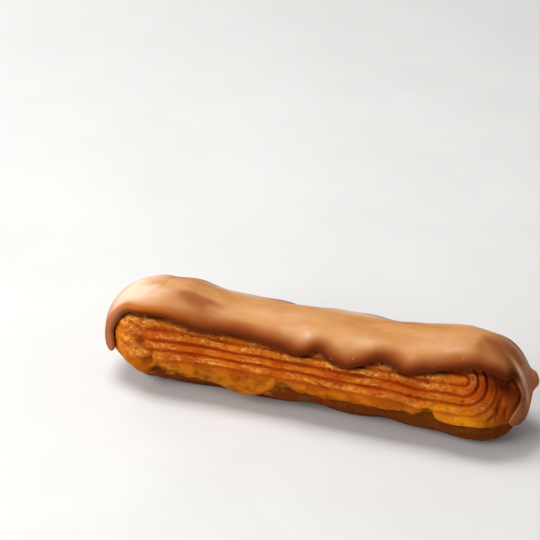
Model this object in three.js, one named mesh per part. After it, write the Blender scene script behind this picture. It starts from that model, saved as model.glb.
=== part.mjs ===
// A coffee eclair: a golden choux bun with piped ribs, and thick coffee icing over its top.
// Millimetres, +Z up. X runs along the bun, and the origin is in the middle of its flat base.
// The bun is one section carried round a straight spine with two round ends. A place on it is given by its
// lap and its tilt. The lap is the distance round the bun from the middle of the side that faces -Y. The tilt
// is the angle on the section: 90 on top, 0 on the widest line, and below 0 on the underside.
import * as THREE from "three";
import { mergeVertices } from "three/addons/utils/BufferGeometryUtils.js";

const { degToRad, radToDeg, clamp } = THREE.MathUtils;

// Size of the bare bun
const HALF_SPINE = 52.5; // half the distance between the centres of the two round ends
const HALF_WIDTH = 17.2; // from the spine to the widest line
const WIDEST_HEIGHT = 15.6; // of the widest line above the base
const CROWN = 13.4; // rise of the top above the widest line
const BELLY = 16.2; // depth of the underside below it, cut off by the flat base
const BELLY_FULLNESS = 0.82; // below 1 fills out the lower half of the section
const END_LAP = HALF_WIDTH * degToRad(90); // from the end of a side to the tip
const FULL_LAP = 4 * (HALF_SPINE + END_LAP);
const MM_PER_DEGREE = HALF_WIDTH * degToRad(1);
const BASE_TILT = -radToDeg(Math.asin(WIDEST_HEIGHT / BELLY)); // of the base's edge

// The flat spot that the bun stands on is shorter towards +Y, and the baked underside rises a little round it.
// What is less than its least rise above the floor there lies flat.
const FLAT_SPOT = { halfWidth: 5, nearHalfLength: 41, farHalfLength: 19, rise: 0.35, over: 2, least: 0.02 };

// Swells are humps, or hollows where by is below 0, with a place and a width
const CROWN_SWELLS = [
  { at: -45, wide: 9, by: 2.2 },
  { at: -22, wide: 12, by: -1.0 },
  { at: 50, wide: 15, by: 2.8 },
];
const BELLY_SWELLS = [{ at: -60, wide: 9, by: -1.6 }];
const SIDE_SWELLS = [
  { at: -46, wide: 10, by: 0.3 },
  { at: -12, wide: 14, by: -0.4 },
  { at: 30, wide: 12, by: 0.3 },
];
// Bulges and dents that the bun and its icing share
const BULGES = [
  { lap: -74, tilt: 42, wide: 13, by: 0.9 },
  { lap: -66, tilt: -35, wide: 12, by: 1.4 },
  { lap: -54, tilt: -58, wide: 9, by: 0.8 },
  { lap: -32, tilt: -52, wide: 14, by: -0.5 },
  { lap: -4, tilt: -48, wide: 9, by: 0.7 },
  { lap: 60, tilt: -48, wide: 16, by: 1.7 },
  { lap: 72, tilt: -37, wide: 8, by: 1.5 },
  { lap: 80, tilt: 4, wide: 11, by: -1.2 },
  { lap: 101, tilt: 52, wide: 11, by: -1.1 },
  { lap: 122, tilt: -46, wide: 13, by: 1.0 },
  { lap: 133, tilt: 52, wide: 14, by: -1.2 },
  { lap: 160, tilt: -50, wide: 12, by: -0.5 },
  { lap: 167, tilt: 52, wide: 11, by: -1.8 },
  { lap: 188, tilt: -44, wide: 12, by: 0.8 },
  { lap: 198, tilt: 52, wide: 12, by: -1.1 },
];
const BULGE_FADE = { from: 58, over: 30, atBase: 14 }; // they end before the spine's line and before the base

// The piped ribs. Grooves run along each side, each at its own distance below a top line, and at the side's
// right-hand end they turn up and back round a nest. The top line drops towards both ends.
const GROOVES = [
  { below: 2.2, depth: 1.2 },
  { below: 5.6, depth: 1.7 },
  { below: 8.9, depth: 1.5 },
  { below: 12.4, depth: 0.8 },
];
const GROOVE_WIDTH = 0.85;
const NEST_LAP = 52.7;
const NEST_STRETCH = 1.05; // the nest is this much wider than it is tall
const TOP_LINE_TILT = 45;
const TOP_LINE_DROPS = {
  left: { from: 30, over: 22, by: 5 },
  right: { from: 30, over: 14, by: 8.3 },
};
// The ribs are wider along the middle than at the nest
const SPREAD = { middle: 0.86, nest: 1, from: 36, over: 10 };
const RIB_FADES = {
  left: { from: 48, over: 9, by: 0.8 },
  right: { from: 64, over: 7, by: 1 },
};
const COVERED = { from: 47, over: 12 }; // the ribs end under the icing

// The golden side ends in a lip, and the underside lies further in
const LIP = { tilt: -14, recess: 1.4, over: 5, baseFade: 12 };
const LIP_WAVES = [
  { lap: -20, wide: 9, by: -26 },
  { lap: -36, wide: 6, by: -10 },
  { lap: -48.5, wide: 2.5, by: 8 },
  { lap: -55, wide: 5, by: -16 },
  { lap: -7, wide: 3, by: 9 },
  { lap: 42, wide: 3.5, by: 9 },
  { lap: 118, wide: 8, by: -14 },
  { lap: 141, wide: 4, by: 7 },
  { lap: 168, wide: 10, by: -20 },
  { lap: 198, wide: 6, by: -8 },
];
const PITS = [
  { lap: -57, tilt: 17, wide: 3.4, by: 1.5 },
  { lap: -50, tilt: -9, wide: 1.8, by: 1.4 },
  { lap: -44, tilt: -27, wide: 3.0, by: 1.2 },
  { lap: -6, tilt: -16, wide: 4.2, by: 1.2 },
  { lap: 33, tilt: -24, wide: 5.0, by: 0.8 },
  { lap: 66, tilt: 4, wide: 1.6, by: 1.1 },
  { lap: 71.5, tilt: -3, wide: 5, by: 0.5 },
  { lap: 126, tilt: -12, wide: 3.8, by: 1.1 },
  { lap: 178, tilt: 6, wide: 2.4, by: 1.1 },
  { lap: 206, tilt: 12, wide: 3.2, by: 1.3 },
];

// The icing
const ICING = 2.3; // thickness over the top
const BEAD = 2.5; // thickness just inside its rolled edge
const BEAD_HEIGHT = 2.8; // from the lower edge to the thickest place
const BEAD_FADE = 5; // from there to the plain thickness
const GAP = 0.3; // between the icing and the bun
const EDGE_TILT = 39.6;
const EDGE_WAVES = [
  { lap: -53, wide: 9, by: 6.5 },
  { lap: -24, wide: 9, by: 6 },
  { lap: -2, wide: 4.5, by: -6 },
  { lap: 4.8, wide: 2.4, by: 4 },
  { lap: 14.2, wide: 6, by: -9.6 },
  { lap: 25.8, wide: 4.5, by: 5 },
  { lap: 34.8, wide: 4.4, by: -5 },
  { lap: 42.5, wide: 3.5, by: -1.5 },
  { lap: 56, wide: 9, by: 7.5 },
  { lap: 68.5, wide: 3.5, by: -8 },
  { lap: 114, wide: 7, by: -7 },
  { lap: 133, wide: 6, by: 4 },
  { lap: 151, wide: 6, by: -8 },
  { lap: 172, wide: 8, by: 4 },
  { lap: 192, wide: 5, by: -6 },
];
// It has run down over the two tips, and a run may end in tongues
const END_RUNS = [
  { from: 74.4, to: 92, by: -58, softness: 1.0, thinner: 0.8 },
  { from: 225, to: 250.6, by: -56, softness: 1.0, thinner: 0 },
];
const RUN_WAVES = [
  { lap: 78, wide: 4, by: -1 },
  { lap: 84.5, wide: 2.5, by: 12 },
  { lap: 233, wide: 4, by: 11 },
];
// The near edges of the runs lean out as they go down
const LEANS = [
  { lap: 73, wide: 6.5, by: -12, from: 10, over: 25 },
  { lap: 250, wide: 5, by: 4.5, from: 14, over: 28 },
];
// A knob of icing stands out near the tip at +X. A squareness above 2 makes its sides steeper than a hump's.
const KNOB = { lap: 85.2, tilt: 9, wide: 2.9, height: 2, squareness: 4 };
// Where the top is thicker or thinner, by its place seen from above
const TOP_WAVES = [
  { x: -33, y: -3, wide: 11, by: -0.4 },
  { x: -4, y: -5, wide: 12, by: 0.35 },
  { x: 12, y: 6, wide: 11, by: -0.35 },
  { x: 33, y: -6, wide: 10, by: 0.35 },
  { x: 58, y: -4, wide: 8, by: -0.4 },
  { x: -58, y: 2, wide: 9, by: 0.3 },
];

// How the meshes are divided: columns along a side and round an end, and rows
const BUN_SIDE_SPANS = [
  { share: 12, steps: 10 },
  { share: 81, steps: 26 },
  { share: 12, steps: 10 },
];
const BUN_END_SPANS = [
  { share: 60, steps: 20 },
  { share: 120, steps: 18 },
];
const ICING_SIDE_SPANS = [{ share: 1, steps: 46 }];
const ICING_RIGHT_END_SPANS = [
  { share: 50, steps: 7 },
  { share: 30, steps: 12 },
  { share: 18, steps: 4 },
  { share: 22, steps: 8 },
  { share: 26, steps: 8 },
  { share: 34, steps: 5 },
];
const ICING_LEFT_END_SPANS = [
  { share: 34, steps: 6 },
  { share: 28, steps: 12 },
  { share: 72, steps: 12 },
  { share: 24, steps: 11 },
  { share: 22, steps: 4 },
];
const COVERED_TILTS = [90, 74, 60, 50]; // of the bun's rows under the icing
const GROOVE_FLANK = 0.95; // from a groove's row to the one on either side
const LIP_ROW_DROPS = [0, 3, 7, 14]; // degrees below the lip
const UNDERSIDE_TILTS = [-52, -63];
const LEAST_ROW_DROP = 1.4; // degrees between two rows
const INNER_ROW_SHARES = [0.86, 0.72, 0.58, 0.44, 0.3, 0.15];
const BEAD_ROW_ANGLES = [0, 25, 55, 90]; // round the rolled edge
const OUTER_ROW_SHARES = [0.07, 0.15, 0.25, 0.4, 0.6, 0.8];
const MERGE_DISTANCE = 1e-4;

// The finishes
const CHOUX_COLOUR = 0xc07028;
const ICING_COLOUR = 0xd49a66;

const hump = (distance, wide) => Math.exp(-((distance / wide) ** 2));
const rise = (distance, softness) => 1 / (1 + Math.exp(-distance / softness));
const easeIn = (value) => clamp(value, 0, 1) ** 2 * (3 - 2 * clamp(value, 0, 1));
const mix = (low, high, share) => low + (high - low) * share;
const swellAt = (swells, x) =>
  swells.reduce((sum, swell) => sum + swell.by * hump(x - swell.at, swell.wide), 0);
const wavesAt = (waves, lap) =>
  waves.reduce((sum, wave) => sum + wave.by * hump(lapBetween(lap, wave.lap), wave.wide), 0);

// The shorter way round the bun from one lap to another
function lapBetween(lap, other) {
  const apart = lap - other;
  return apart - FULL_LAP * Math.round(apart / FULL_LAP);
}

// How far a place is from a spot on the surface, and what all spots of a kind do there
const distanceTo = (spot, lap, tilt) =>
  Math.hypot(lapBetween(lap, spot.lap), (tilt - spot.tilt) * MM_PER_DEGREE);
const spotsAt = (spots, lap, tilt) =>
  spots.reduce((sum, spot) => sum + spot.by * hump(distanceTo(spot, lap, tilt), spot.wide), 0);

// The columns of a mesh. Each has its x on the spine, the way it faces and its lap. Both sides have the same
// columns, so that their last rows meet on the line above or below the spine.
function columnsRound(sideSpans, rightEndSpans, leftEndSpans) {
  const alongSide = stepsAlong(sideSpans);
  const columns = [];
  for (const [half, endSpans] of [rightEndSpans, leftEndSpans].entries()) {
    const way = half ? -1 : 1;
    const middleLap = (half * FULL_LAP) / 2;
    for (const share of alongSide) {
      const along = HALF_SPINE * (2 * share - 1);
      columns.push({ x: way * along, facing: degToRad(half * 180 - 90), lap: middleLap + along });
    }
    for (const share of stepsAlong(endSpans)) {
      const facing = degToRad(half * 180 - 90 + 180 * share);
      columns.push({ x: way * HALF_SPINE, facing, lap: middleLap + HALF_SPINE + 2 * END_LAP * share });
    }
  }
  return columns;
}

// Shares from 0 up to, but not with, 1, split as the spans say
function stepsAlong(spans) {
  const whole = spans.reduce((sum, span) => sum + span.share, 0);
  const shares = [];
  let start = 0;
  for (const span of spans) {
    for (let step = 0; step < span.steps; step++)
      shares.push((start + (span.share * step) / span.steps) / whole);
    start += span.share;
  }
  return shares;
}

// A place on the section of a column, moved out from the bare bun's plain form
function placeOn(column, tilt, outwards) {
  const angle = degToRad(tilt);
  const above = tilt > 0;
  const height = above ? CROWN + swellAt(CROWN_SWELLS, column.x) : BELLY + swellAt(BELLY_SWELLS, column.x);
  const fullness = above ? 1 : BELLY_FULLNESS;
  const width = HALF_WIDTH + swellAt(SIDE_SWELLS, lapBetween(column.lap, 0));
  const cosine = Math.max(0, Math.cos(angle));
  const belowTop = 1 - easeIn((tilt - BULGE_FADE.from) / BULGE_FADE.over);
  const aboveBase = easeIn((tilt - BASE_TILT) / BULGE_FADE.atBase);
  const moved = outwards + spotsAt(BULGES, column.lap, tilt) * belowTop * aboveBase;
  const out = width * cosine ** fullness + moved * cosine;
  const up = WIDEST_HEIGHT + (height + moved) * Math.sin(angle);
  return new THREE.Vector3(
    column.x + out * Math.cos(column.facing),
    out * Math.sin(column.facing),
    Math.max(0, up),
  );
}

// The lap counted from the middle of the side that it is on
const lapOnSide = (lap) => lapBetween(2 * lap, 0) / 2;

// What happens towards the left and the right-hand end of a side, each from a distance from its middle
const towardsEnds = ({ left, right }, side) => ({
  left: left.by * easeIn((-side - left.from) / left.over),
  right: right.by * easeIn((side - right.from) / right.over),
});

function topLineAt(side) {
  const drop = towardsEnds(TOP_LINE_DROPS, side);
  return TOP_LINE_TILT - drop.left - drop.right;
}

const spreadAt = (side) => mix(SPREAD.middle, SPREAD.nest, easeIn((side - SPREAD.from) / SPREAD.over));

// The tilt of the place that is this far below the top line
const tiltBelowTopLine = (side, below) => topLineAt(side) - below / (MM_PER_DEGREE * spreadAt(side));

function ribDepth(lap, tilt) {
  const side = lapOnSide(lap);
  const below = (topLineAt(side) - tilt) * MM_PER_DEGREE * spreadAt(side);
  const fromLine = Math.hypot(Math.max(0, side - NEST_LAP) / NEST_STRETCH, below);
  const cut = GROOVES.reduce(
    (sum, groove) => sum + groove.depth * Math.exp(-Math.abs(fromLine - groove.below) / GROOVE_WIDTH),
    0,
  );
  const fade = towardsEnds(RIB_FADES, side);
  return cut * (1 - fade.left) * (1 - fade.right);
}

const lipTilt = (lap) => LIP.tilt + wavesAt(LIP_WAVES, lap);

// How far the surface of the bun lies inside its plain form
function reliefAt(lap, tilt) {
  const belowLip = lipTilt(lap) - tilt;
  const underLip = LIP.recess * easeIn(belowLip / LIP.over);
  const aboveBase = easeIn((tilt - BASE_TILT) / LIP.baseFade);
  const uncovered = 1 - easeIn((tilt - COVERED.from) / COVERED.over);
  const ribs = ribDepth(lap, tilt) * easeIn(1 - belowLip / LIP.over);
  return (ribs + underLip + spotsAt(PITS, lap, tilt)) * aboveBase * uncovered;
}

// The rows of the bun in one column, from the top down: they follow the grooves and the lip, and never cross
function bunTilts(lap) {
  const side = lapOnSide(lap);
  const wanted = [...COVERED_TILTS];
  for (const groove of GROOVES)
    for (const flank of [-GROOVE_FLANK, 0, GROOVE_FLANK])
      wanted.push(tiltBelowTopLine(side, groove.below + flank));
  for (const drop of LIP_ROW_DROPS) wanted.push(lipTilt(lap) - drop);
  wanted.push(...UNDERSIDE_TILTS);
  const tilts = [];
  for (const tilt of wanted) {
    const highest = tilts.length ? tilts.at(-1) - LEAST_ROW_DROP : tilt;
    const lowest = BASE_TILT + LEAST_ROW_DROP * (wanted.length - tilts.length);
    tilts.push(Math.max(Math.min(tilt, highest), lowest));
  }
  return [...tilts, BASE_TILT];
}

// One closed surface through the rows of every column. The first and the last row lie over the spine.
function closedSurface(columns, rowsOf) {
  const rows = columns.map(rowsOf);
  const positions = rows.flat().flatMap((place) => place.toArray());
  const rowCount = rows[0].length;
  const corners = [];
  for (let column = 0; column < columns.length; column++) {
    const here = column * rowCount;
    const next = ((column + 1) % columns.length) * rowCount;
    for (let row = 0; row < rowCount - 1; row++) {
      corners.push(here + row, next + row, next + row + 1);
      corners.push(here + row, next + row + 1, here + row + 1);
    }
  }
  const loose = new THREE.BufferGeometry();
  loose.setAttribute("position", new THREE.Float32BufferAttribute(positions, 3));
  loose.setIndex(corners);
  const merged = mergeVertices(loose, MERGE_DISTANCE);
  merged.setIndex(withoutFlatTriangles([...merged.index.array]));
  merged.computeVertexNormals();
  return merged;
}

// A triangle whose corners were merged into fewer than three places is dropped
function withoutFlatTriangles(corners) {
  const kept = [];
  for (let i = 0; i < corners.length; i += 3) {
    const [a, b, c] = corners.slice(i, i + 3);
    if (a !== b && b !== c && c !== a) kept.push(a, b, c);
  }
  return kept;
}

// How far the underside is above the flat spot's level
function baseRise({ x, y }) {
  const across = clamp((y / FLAT_SPOT.halfWidth + 1) / 2, 0, 1);
  const halfLength = mix(FLAT_SPOT.nearHalfLength, FLAT_SPOT.farHalfLength, across);
  const outside = Math.max(0, Math.abs(x) - halfLength, Math.abs(y) - FLAT_SPOT.halfWidth);
  return FLAT_SPOT.rise * (1 - Math.exp(-outside / FLAT_SPOT.over));
}

function chouxBun() {
  const columns = columnsRound(BUN_SIDE_SPANS, BUN_END_SPANS, BUN_END_SPANS);
  return closedSurface(columns, (column) => {
    const tilts = bunTilts(column.lap).reverse();
    const [edge, ...places] = tilts.map((tilt) => placeOn(column, tilt, -reliefAt(column.lap, tilt)));
    const underSpine = new THREE.Vector3(column.x, 0, 0);
    const facing = new THREE.Vector3(Math.cos(column.facing), Math.sin(column.facing), 0);
    const onFlatSpot = underSpine.clone().addScaledVector(facing, FLAT_SPOT.halfWidth);
    const height = Math.max(0, edge.z - FLAT_SPOT.least);
    for (const place of [underSpine, onFlatSpot, edge]) place.z = height + baseRise(place);
    return [underSpine, onFlatSpot, edge, ...places];
  });
}

const runAt = (run, lap) =>
  rise(lapBetween(lap, run.from), run.softness) * rise(lapBetween(run.to, lap), run.softness);

function edgeTilt(lap) {
  const runs = END_RUNS.reduce((sum, run) => sum + run.by * runAt(run, lap), 0);
  return EDGE_TILT + wavesAt(EDGE_WAVES, lap) + runs + wavesAt(RUN_WAVES, lap);
}

// Thickness of the icing at a height above its lower edge, measured along the surface
function icingThickness(column, tilt, aboveEdge) {
  const rolled = Math.sqrt(1 - (1 - clamp(aboveEdge / BEAD_HEIGHT, 0, 1)) ** 2);
  const plain = mix(BEAD, ICING, easeIn((aboveEdge - BEAD_HEIGHT) / BEAD_FADE));
  const place = placeOn(column, tilt, 0);
  const waves = TOP_WAVES.reduce(
    (sum, wave) => sum + wave.by * hump(Math.hypot(place.x - wave.x, place.y - wave.y), wave.wide),
    0,
  );
  const thinner = END_RUNS.reduce((sum, run) => sum + run.thinner * runAt(run, column.lap), 0);
  const onEnd = 1 - easeIn((tilt - EDGE_TILT) / (90 - EDGE_TILT));
  const fromKnob = distanceTo(KNOB, column.lap, tilt) / KNOB.wide;
  return (plain + waves - thinner * onEnd) * rolled + KNOB.height * Math.exp(-(fromKnob ** KNOB.squareness));
}

function leaned(column, tilt) {
  let lean = 0;
  for (const { lap, wide, by, from, over } of LEANS)
    lean += by * hump(lapBetween(column.lap, lap), wide) * easeIn((from - tilt) / over);
  return { ...column, facing: column.facing + lean / HALF_WIDTH, lap: column.lap + lean };
}

function coffeeIcing() {
  const columns = columnsRound(ICING_SIDE_SPANS, ICING_RIGHT_END_SPANS, ICING_LEFT_END_SPANS);
  return closedSurface(columns, (column) => {
    const edge = edgeTilt(column.lap);
    const inner = [90, ...INNER_ROW_SHARES.map((share) => mix(edge, 90, share))];
    const outer = BEAD_ROW_ANGLES.map((angle) => {
      const aboveEdge = BEAD_HEIGHT * (1 - Math.cos(degToRad(angle)));
      return edge + aboveEdge / MM_PER_DEGREE;
    });
    const beadTop = outer.at(-1);
    outer.push(...OUTER_ROW_SHARES.map((share) => mix(beadTop, 90, share)), 90);
    return [
      ...inner.map((tilt) => placeOn(leaned(column, tilt), tilt, GAP)),
      ...outer.map((tilt) => {
        const aboveEdge = (tilt - edge) * MM_PER_DEGREE;
        return placeOn(leaned(column, tilt), tilt, GAP + icingThickness(column, tilt, aboveEdge));
      }),
    ];
  });
}

function piece(name, geometry, color, roughness) {
  const mesh = new THREE.Mesh(geometry, new THREE.MeshStandardMaterial({ color, roughness, metalness: 0 }));
  mesh.name = name;
  return mesh;
}

const eclair = new THREE.Group();
eclair.add(piece("choux_bun", chouxBun(), CHOUX_COLOUR, 0.75));
eclair.add(piece("coffee_icing", coffeeIcing(), ICING_COLOUR, 0.35));

// The icing reaches further at one end than at the other, so the whole is moved to its middle
const middle = new THREE.Box3().setFromObject(eclair).getCenter(new THREE.Vector3());
eclair.position.set(-middle.x, -middle.y, 0);

export default eclair;
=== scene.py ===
"""A coffee eclair: a choux bun with piped ribs, dipped in coffee icing, on a pale floor in soft light.

A place on the bun is given by its lap and its tilt, as in the solid model. The lap is the distance round the
bun from the middle of the side that faces -Y, and the tilt is the angle on its section: 90 on top, 0 on the
widest line and below 0 on the underside. Lengths are in millimetres until a mesh gets its places in metres.
"""

import math
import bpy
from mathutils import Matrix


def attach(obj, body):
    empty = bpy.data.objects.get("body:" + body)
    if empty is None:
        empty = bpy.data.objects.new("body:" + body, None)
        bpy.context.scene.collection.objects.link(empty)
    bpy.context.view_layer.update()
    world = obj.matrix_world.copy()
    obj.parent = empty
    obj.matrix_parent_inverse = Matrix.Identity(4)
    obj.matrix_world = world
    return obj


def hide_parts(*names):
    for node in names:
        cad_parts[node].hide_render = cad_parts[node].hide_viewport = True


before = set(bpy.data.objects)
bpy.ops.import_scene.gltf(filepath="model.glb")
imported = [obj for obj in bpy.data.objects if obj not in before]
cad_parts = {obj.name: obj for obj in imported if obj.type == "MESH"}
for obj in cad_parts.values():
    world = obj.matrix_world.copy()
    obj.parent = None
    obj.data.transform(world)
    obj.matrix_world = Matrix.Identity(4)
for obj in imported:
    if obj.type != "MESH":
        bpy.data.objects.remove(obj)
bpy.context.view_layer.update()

from types import SimpleNamespace

import bmesh
import bpy
import numpy as np
from mathutils import Vector, kdtree, noise

MM = 0.001

# Size of the bare bun
HALF_SPINE = 52.5
HALF_WIDTH = 17.2
WIDEST_HEIGHT = 15.6
CROWN = 13.4
BELLY = 16.2
BELLY_FULLNESS = 0.82
QUARTER_LAP = HALF_SPINE + HALF_WIDTH * math.pi / 2
FULL_LAP = 4 * QUARTER_LAP
MM_PER_DEGREE = HALF_WIDTH * math.radians(1)
BASE_TILT = -math.degrees(math.asin(WIDEST_HEIGHT / BELLY))
FLAT_SPOT = (5, 41, 19)  # half its width, and half its length towards -Y and towards +Y
BASE_RISE = (0.35, 2)  # how far the underside rises round it, and over what distance
BASE_RISE_FADE = 6  # degrees above the base's edge where this has ended
HOME = (0.653, 0.267, 0)  # the icing reaches further at one end, and the whole is moved to its middle

# Swells are (place along the spine, how wide, how far out)
CROWN_SWELLS = ((-45, 9, 2.2), (-22, 12, -1.0), (50, 15, 2.8))
BELLY_SWELLS = ((-60, 9, -1.6),)
SIDE_SWELLS = ((-46, 10, 0.3), (-12, 14, -0.4), (30, 12, 0.3))
# Bulges are (lap, tilt, how wide, how far out), shared by the bun and its icing. They grow over so many
# degrees above the base, and fade out from a tilt near the top, over so many.
BULGES_GROW = 14
BULGES_END = (58, 30)
BULGES = (
    (-74, 42, 13, 0.9),
    (-66, -35, 12, 1.4),
    (-54, -58, 9, 0.8),
    (-32, -52, 14, -0.5),
    (-4, -48, 9, 0.7),
    (60, -48, 16, 1.7),
    (72, -37, 8, 1.5),
    (80, 4, 11, -1.2),
    (101, 52, 11, -1.1),
    (122, -46, 13, 1.0),
    (133, 52, 14, -1.2),
    (160, -50, 12, -0.5),
    (167, 52, 11, -1.8),
    (188, -44, 12, 0.8),
    (198, 52, 12, -1.1),
)

# Grooves are (distance below the top line, depth, width), with faint ones between the deep ones
GROOVES = (
    (2.2, 1.25, 0.75),
    (3.8, 0.35, 0.45),
    (5.6, 1.75, 0.80),
    (7.2, 0.40, 0.45),
    (8.9, 1.55, 0.80),
    (10.6, 0.35, 0.45),
    (12.4, 0.85, 0.70),
)
# Crests are (distance below the top line, how wide)
CRESTS = ((0.4, 1.2), (3.9, 1.25), (7.3, 1.2), (10.6, 1.1))
NEST_LAP = 52.7
NEST_STRETCH = 1.05
TOP_LINE_TILT = 45
# The line drops by so many degrees, so far along to each side, over how far
TOP_LINE_LEFT = (5, 30, 22)
TOP_LINE_RIGHT = (8.3, 30, 14)
# Away from the nest a millimetre below the line counts as less, which sets the ribs further apart there
MIDDLE_COUNTS_AS = 0.86
NEST_STARTS = (36, 10)

# Waves are (lap, how wide, degrees up)
LIP_TILT = -14
LIP_RECESS = 1.5
LIP_WAVES = (
    (-20, 9, -26),
    (-36, 6, -10),
    (-48.5, 2.5, 8),
    (-55, 5, -16),
    (-7, 3, 9),
    (42, 3.5, 9),
    (118, 8, -14),
    (141, 4, 7),
    (168, 10, -20),
    (198, 6, -8),
)
EDGE_TILT = 39.6
EDGE_WAVES = (
    (-53, 9, 6.5),
    (-24, 9, 6),
    (-2, 4.5, -6),
    (4.8, 2.4, 4),
    (14.2, 6, -9.6),
    (25.8, 4.5, 5),
    (34.8, 4.4, -5),
    (42.5, 3.5, -1.5),
    (56, 9, 7.5),
    (68.5, 3.5, -8),
    (78, 4, -1),
    (84.5, 2.5, 12),
    (114, 7, -7),
    (133, 6, 4),
    (151, 6, -8),
    (172, 8, 4),
    (192, 5, -6),
    (233, 4, 11),
)
# Runs down the two ends are (from lap, to lap, degrees up, softness of their sides, how much thinner)
END_RUNS = ((74.4, 92, -58, 1.0, 0.8), (225, 250.6, -56, 1.0, 0.0))


def hump(distance, wide):
    return np.exp(-((distance / wide) ** 2))


def rise(distance, softness):
    return 1 / (1 + np.exp(-distance / softness))


def ease(value):
    share = np.clip(value, 0, 1)
    return share * share * (3 - 2 * share)


def fade_in(value, start, over):
    """0 up to the start, and 1 from that far past it."""
    return ease((value - start) / over)


def fade_out(value, start, over):
    return 1 - fade_in(value, start, over)


def mix(low, high, share):
    return low + (high - low) * share


def lap_between(lap, other):
    """The shorter way round the bun from one lap to another."""
    apart = lap - other
    return apart - FULL_LAP * np.round(apart / FULL_LAP)


def side_of(lap):
    """The lap from the middle of its own side, and 1 on the side that faces -Y or -1 on the other."""
    halves = np.round(2 * lap / FULL_LAP)
    return lap - halves * FULL_LAP / 2, np.where(halves % 2 == 0, 1.0, -1.0)


def swells_at(swells, x):
    return sum(by * hump(x - at, wide) for at, wide, by in swells)


def waves_at(waves, lap):
    return sum(by * hump(lap_between(lap, at), wide) for at, wide, by in waves)


def distance_to(at, lap, tilt):
    return np.hypot(lap_between(lap, at[0]), (tilt - at[1]) * MM_PER_DEGREE)


def spots_at(spots, lap, tilt):
    return sum(by * hump(distance_to((at, up), lap, tilt), wide) for at, up, wide, by in spots)


def place_on(lap, tilt, outwards):
    """Places in millimetres, so far out from the bun's plain form."""
    along, way = side_of(lap)
    on_spine = np.clip(along, -HALF_SPINE, HALF_SPINE)
    x = way * on_spine
    facing = -way * math.pi / 2 + (along - on_spine) / HALF_WIDTH
    angle = np.radians(tilt)
    above = tilt > 0
    height = np.where(above, CROWN + swells_at(CROWN_SWELLS, x), BELLY + swells_at(BELLY_SWELLS, x))
    cosine = np.maximum(0, np.cos(angle))
    width = HALF_WIDTH + swells_at(SIDE_SWELLS, lap_between(lap, 0))
    held = fade_out(tilt, *BULGES_END) * fade_in(tilt, BASE_TILT, BULGES_GROW)
    moved = outwards + spots_at(BULGES, lap, tilt) * held
    out = width * cosine ** np.where(above, 1, BELLY_FULLNESS) + moved * cosine
    up = WIDEST_HEIGHT + (height + moved) * np.sin(angle)
    return np.stack([x + out * np.cos(facing), out * np.sin(facing), np.maximum(0, up)], axis=-1)


def base_rise(places):
    """How far the underside is above the flat spot's level."""
    half_width, near_half_length, far_half_length = FLAT_SPOT
    x, y, _ = np.abs(places).T
    across = np.clip((places[:, 1] / half_width + 1) / 2, 0, 1)
    outside = np.maximum(x - mix(near_half_length, far_half_length, across), y - half_width)
    return BASE_RISE[0] * (1 - np.exp(-np.maximum(0, outside) / BASE_RISE[1]))


def below_top_line(along, tilt):
    """How far a place on a side is below the line that the nest of ribs lies on."""
    left, *on_left = TOP_LINE_LEFT
    right, *on_right = TOP_LINE_RIGHT
    line = TOP_LINE_TILT - left * fade_in(-along, *on_left) - right * fade_in(along, *on_right)
    counts_as = mix(MIDDLE_COUNTS_AS, 1, fade_in(along, *NEST_STARTS))
    return (line - tilt) * MM_PER_DEGREE * counts_as


def lip_tilt(lap):
    return LIP_TILT + waves_at(LIP_WAVES, lap)


# How much weaker and how much finer each layer of rough noise is, and how many there are
ROUGH_LAYERS = (0.9, 2.1, 4)
# Each seed moves the noise by one of these, so that no two are alike
SMOOTH_SHIFT = np.array([17.3, 5.9, 9.1])
ROUGH_SHIFT = np.array([11.7, 7.3, 3.9])
HOLE_SHIFT = np.array([3.7, 8.3, 5.1])
CHANCE_SCALE = 7.1  # spreads the holes' middles over the noise that chooses among them


def noise_at(places, strength, size, seed):
    """Smooth noise, with features of that size or of those sizes along the three axes."""
    moved = places / np.asarray(size, float) + seed * SMOOTH_SHIFT
    return strength * np.array([noise.noise(place) for place in moved.tolist()])


def rough_at(places, strength, size, seed):
    """The same with finer layers on it."""
    moved = places / np.asarray(size, float) + seed * ROUGH_SHIFT
    return strength * np.array([noise.fractal(place, *ROUGH_LAYERS) for place in moved.tolist()])


def holes_at(places, apart, wide, share, seed):
    """Round pinholes, 1 in the middle and 0 outside. A share of the cells that far apart has one."""
    moved = places / apart + seed * HOLE_SHIFT
    depths = []
    for place in moved.tolist():
        distances, centres = noise.voronoi(place)
        chance = noise.cell(centres[0] * CHANCE_SCALE) * 0.5 + 0.5
        depths.append(max(0.0, 1 - distances[0] * apart / wide) if chance < share else 0.0)
    return np.sqrt(np.array(depths))


def crack_at(crack, lap, tilt):
    """1 on a crack's middle line, fading to its width and its two ends."""
    (lap_a, tilt_a), (lap_b, tilt_b), wide = crack
    across = np.array([lap_between(lap, lap_a), (tilt - tilt_a) * MM_PER_DEGREE])
    whole = np.array([lap_b - lap_a, (tilt_b - tilt_a) * MM_PER_DEGREE])
    share = np.clip((across[0] * whole[0] + across[1] * whole[1]) / (whole @ whole), 0, 1)
    away = np.hypot(across[0] - share * whole[0], across[1] - share * whole[1])
    at_end = np.abs(2 * share - 1)
    return hump(away, wide) * (1 - CRACK_END_LOSS * at_end)


# The bun's surface
SIDES_APART = 40  # keeps the noise of one side unlike the other's
BUN_COLUMNS = 860
BUN_ROWS = 110
COVERED_TILTS = (54, 66, 78, 90)  # the last rows are under the icing, where the ribs have ended
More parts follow.
